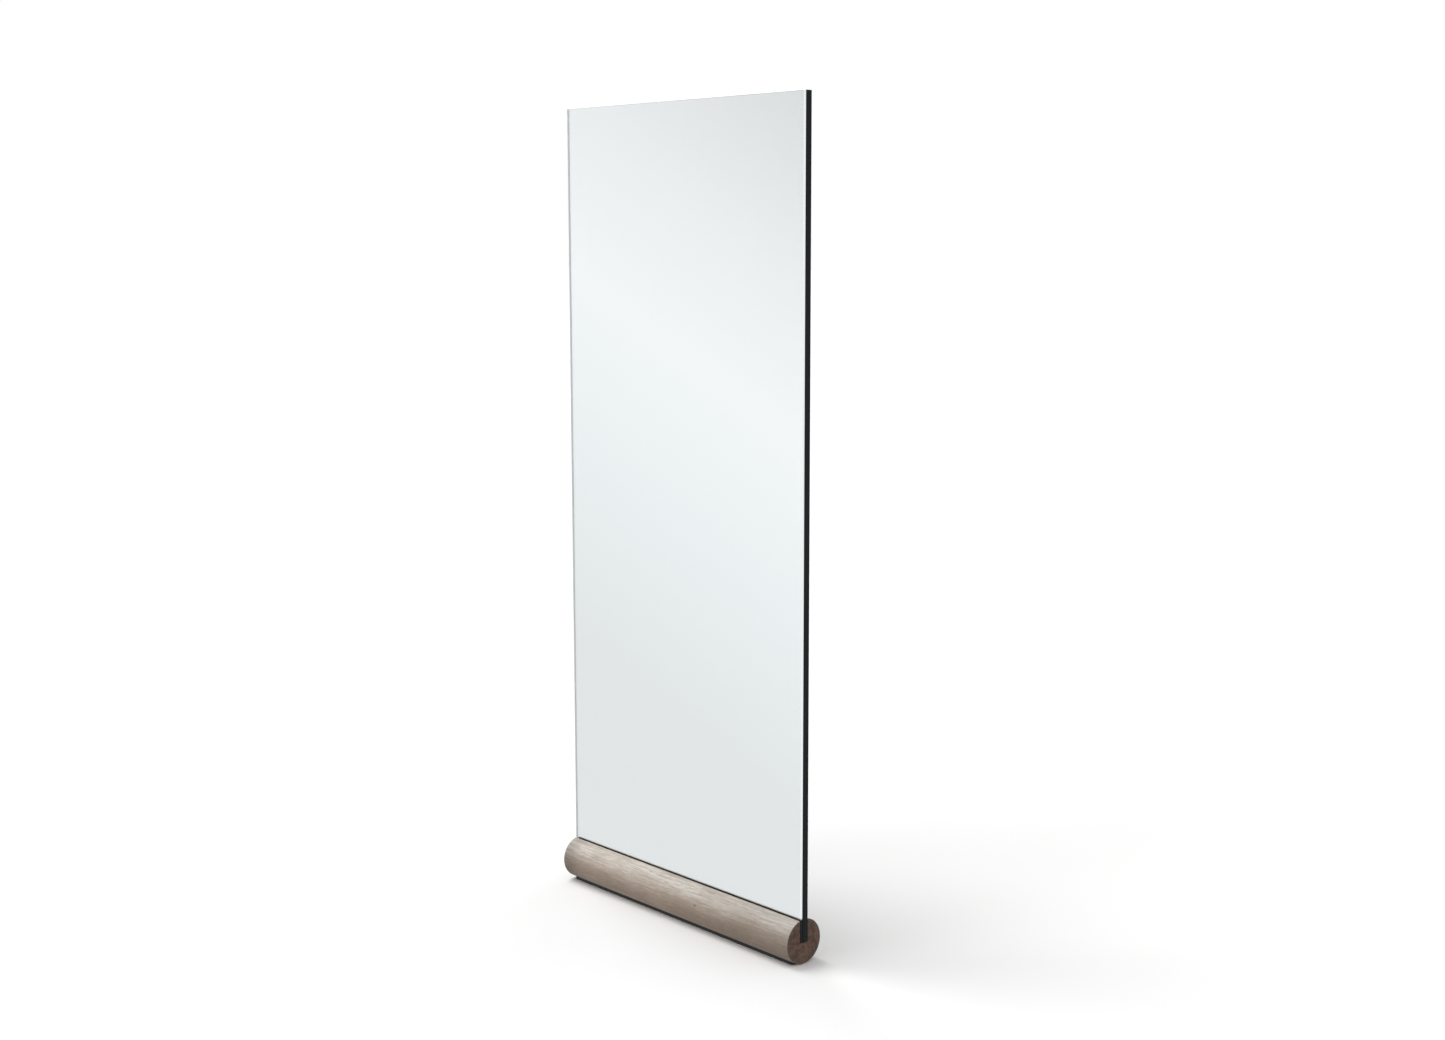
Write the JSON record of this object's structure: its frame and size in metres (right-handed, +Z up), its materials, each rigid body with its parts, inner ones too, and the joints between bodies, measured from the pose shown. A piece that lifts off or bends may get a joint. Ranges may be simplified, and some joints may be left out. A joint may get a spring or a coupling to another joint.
{
  "type": "floor mirror",
  "caption": "Frameless full-height floor mirror: a glass panel on a black board, standing upright in the slot of a round solid wood log.",
  "frame": {"origin": "on the floor, at the middle of the footprint, under the log's axis", "axes": "+X along the log, -Y is the way the mirror faces, +Z up"},
  "size_m": [0.78, 0.1, 1.85],
  "materials": {
    "oiled_oak": "matt, oiled, greyed oak",
    "blackened_steel": "matt black",
    "black_rubber": "matt",
    "black_felt": "short felt",
    "clear_glass": "polished face, ground edges",
    "silver_film": "silvered",
    "foam_tape": "closed-cell foam",
    "black_board": "black-faced fibreboard, satin",
    "black_band": "satin",
    "zinc_screw": "zinc plated"
  },
  "bodies": {
    "base": {"base_log": "oiled_oak", "foot_bar": "blackened_steel", "foot_sole": "black_rubber", "foot_screws": "zinc_screw", "slot_liner_front": "black_felt", "slot_liner_rear": "black_felt", "setting_block_left": "black_rubber", "setting_block_right": "black_rubber"},
    "panel": {"mirror_glass": "clear_glass", "reflecting_film": "silver_film", "mounting_tape": "foam_tape", "back_board": "black_board", "edge_band_left": "black_band", "edge_band_right": "black_band", "edge_band_top": "black_band", "edge_band_bottom": "black_band"}
  },
  "joints": [
    {"name": "panel_lift", "type": "slide", "parent": "base", "child": "panel", "axis": [0, 0, 1], "range_m": [0, 0.05]}
  ]
}
